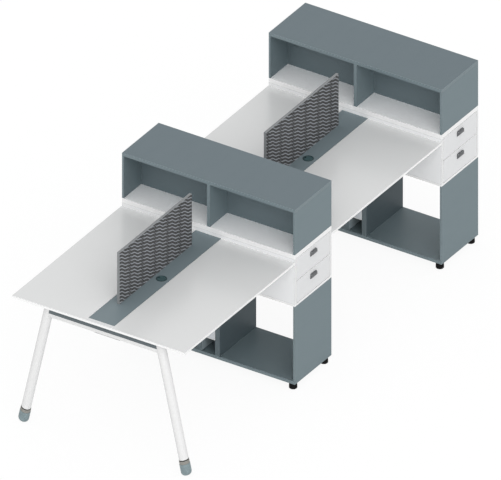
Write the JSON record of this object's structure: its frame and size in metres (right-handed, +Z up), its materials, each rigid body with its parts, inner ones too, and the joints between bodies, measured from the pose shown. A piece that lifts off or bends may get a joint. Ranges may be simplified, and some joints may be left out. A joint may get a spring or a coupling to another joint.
{
  "type": "back to back office workstation",
  "caption": "Run of back to back office desks with a cable raceway, privacy screens, storage units with drawers and open hutches, and a splayed leg frame.",
  "frame": {"origin": "on the floor, under the middle of the whole run", "axes": "+X across the desks towards the right hand user, +Y along the run away from the open leg frame, +Z up"},
  "size_m": [1.234, 3.2, 1.058],
  "materials": {
    "grey_laminate": "matt blue grey laminate on board",
    "white_laminate": "satin white laminate on board",
    "drawer_board": "white melamine drawer sides with steel slides",
    "screen_fabric": "grey woven fabric with dark waves",
    "white_steel": "white powder coat",
    "grey_steel": "dark grey powder coat",
    "plain_steel": "zinc plated sheet",
    "grommet_plastic": "dark teal plastic",
    "collar_plastic": "beige grey plastic",
    "foot_plastic": "blue grey moulded plastic",
    "black_plastic": "black moulded plastic",
    "handle_metal": "dark grey satin metal"
  },
  "bodies": {
    "root": {"near_worktop_left": "white_laminate", "near_worktop_right": "white_laminate", "near_raceway_cover": "grey_laminate", "near_screen_panel": "screen_fabric", "near_hutch_top": "grey_laminate", "near_hutch_sides": "grey_laminate", "near_case_top": "white_laminate", "far_worktop_left": "white_laminate", "far_worktop_right": "white_laminate", "far_raceway_cover": "grey_laminate", "far_screen_panel": "screen_fabric", "far_hutch_top": "grey_laminate", "far_hutch_sides": "grey_laminate", "far_case_top": "white_laminate", "raceway_end_cap": "white_laminate", "cable_trays": "plain_steel", "support_rails": "grey_steel", "screen_studs": "plain_steel", "grommet_rings": "grommet_plastic", "leg_tubes": "white_steel", "leg_collars": "collar_plastic", "leg_feet": "foot_plastic", "leg_crossbar": "grey_steel", "leg_tie": "white_steel", "case_sides": "white_laminate", "case_floors": "white_laminate", "case_dividers": "white_laminate", "hutch_back_panels": "grey_laminate", "cabinet_ends": "grey_laminate", "cabinet_partitions": "grey_laminate", "cabinet_bases": "grey_laminate", "riser_panels": "white_laminate", "levelling_glides": "black_plastic", "drawer_runners": "plain_steel"},
    "near_grommet_cap": {"near_grommet_cap": "grommet_plastic"},
    "far_grommet_cap": {"far_grommet_cap": "grommet_plastic"},
    "near_left_lower_drawer": {"near_left_lower_front": "white_laminate", "near_left_lower_tray": "drawer_board", "near_left_lower_handle": "handle_metal"},
    "near_left_upper_drawer": {"near_left_upper_front": "white_laminate", "near_left_upper_tray": "drawer_board", "near_left_upper_handle": "handle_metal"},
    "near_right_lower_drawer": {"near_right_lower_front": "white_laminate", "near_right_lower_tray": "drawer_board", "near_right_lower_handle": "handle_metal"},
    "near_right_upper_drawer": {"near_right_upper_front": "white_laminate", "near_right_upper_tray": "drawer_board", "near_right_upper_handle": "handle_metal"},
    "far_left_lower_drawer": {"far_left_lower_front": "white_laminate", "far_left_lower_tray": "drawer_board", "far_left_lower_handle": "handle_metal"},
    "far_left_upper_drawer": {"far_left_upper_front": "white_laminate", "far_left_upper_tray": "drawer_board", "far_left_upper_handle": "handle_metal"},
    "far_right_lower_drawer": {"far_right_lower_front": "white_laminate", "far_right_lower_tray": "drawer_board", "far_right_lower_handle": "handle_metal"},
    "far_right_upper_drawer": {"far_right_upper_front": "white_laminate", "far_right_upper_tray": "drawer_board", "far_right_upper_handle": "handle_metal"}
  },
  "joints": [
    {"name": "near_left_lower_slide", "type": "slide", "parent": "root", "child": "near_left_lower_drawer", "axis": [-1, 0, 0], "range_m": [0, 0.34]},
    {"name": "near_left_upper_slide", "type": "slide", "parent": "root", "child": "near_left_upper_drawer", "axis": [-1, 0, 0], "range_m": [0, 0.34]},
    {"name": "near_right_lower_slide", "type": "slide", "parent": "root", "child": "near_right_lower_drawer", "axis": [1, 0, 0], "range_m": [0, 0.34]},
    {"name": "near_right_upper_slide", "type": "slide", "parent": "root", "child": "near_right_upper_drawer", "axis": [1, 0, 0], "range_m": [0, 0.34]},
    {"name": "near_grommet_turn", "type": "hinge", "parent": "root", "child": "near_grommet_cap", "pos_m": [0.037, -0.969, 0.752], "axis": [0, 0, 1], "continuous": true},
    {"name": "far_left_lower_slide", "type": "slide", "parent": "root", "child": "far_left_lower_drawer", "axis": [-1, 0, 0], "range_m": [0, 0.34]},
    {"name": "far_left_upper_slide", "type": "slide", "parent": "root", "child": "far_left_upper_drawer", "axis": [-1, 0, 0], "range_m": [0, 0.34]},
    {"name": "far_right_lower_slide", "type": "slide", "parent": "root", "child": "far_right_lower_drawer", "axis": [1, 0, 0], "range_m": [0, 0.34]},
    {"name": "far_right_upper_slide", "type": "slide", "parent": "root", "child": "far_right_upper_drawer", "axis": [1, 0, 0], "range_m": [0, 0.34]},
    {"name": "far_grommet_turn", "type": "hinge", "parent": "root", "child": "far_grommet_cap", "pos_m": [0.037, 0.631, 0.752], "axis": [0, 0, 1], "continuous": true}
  ]
}
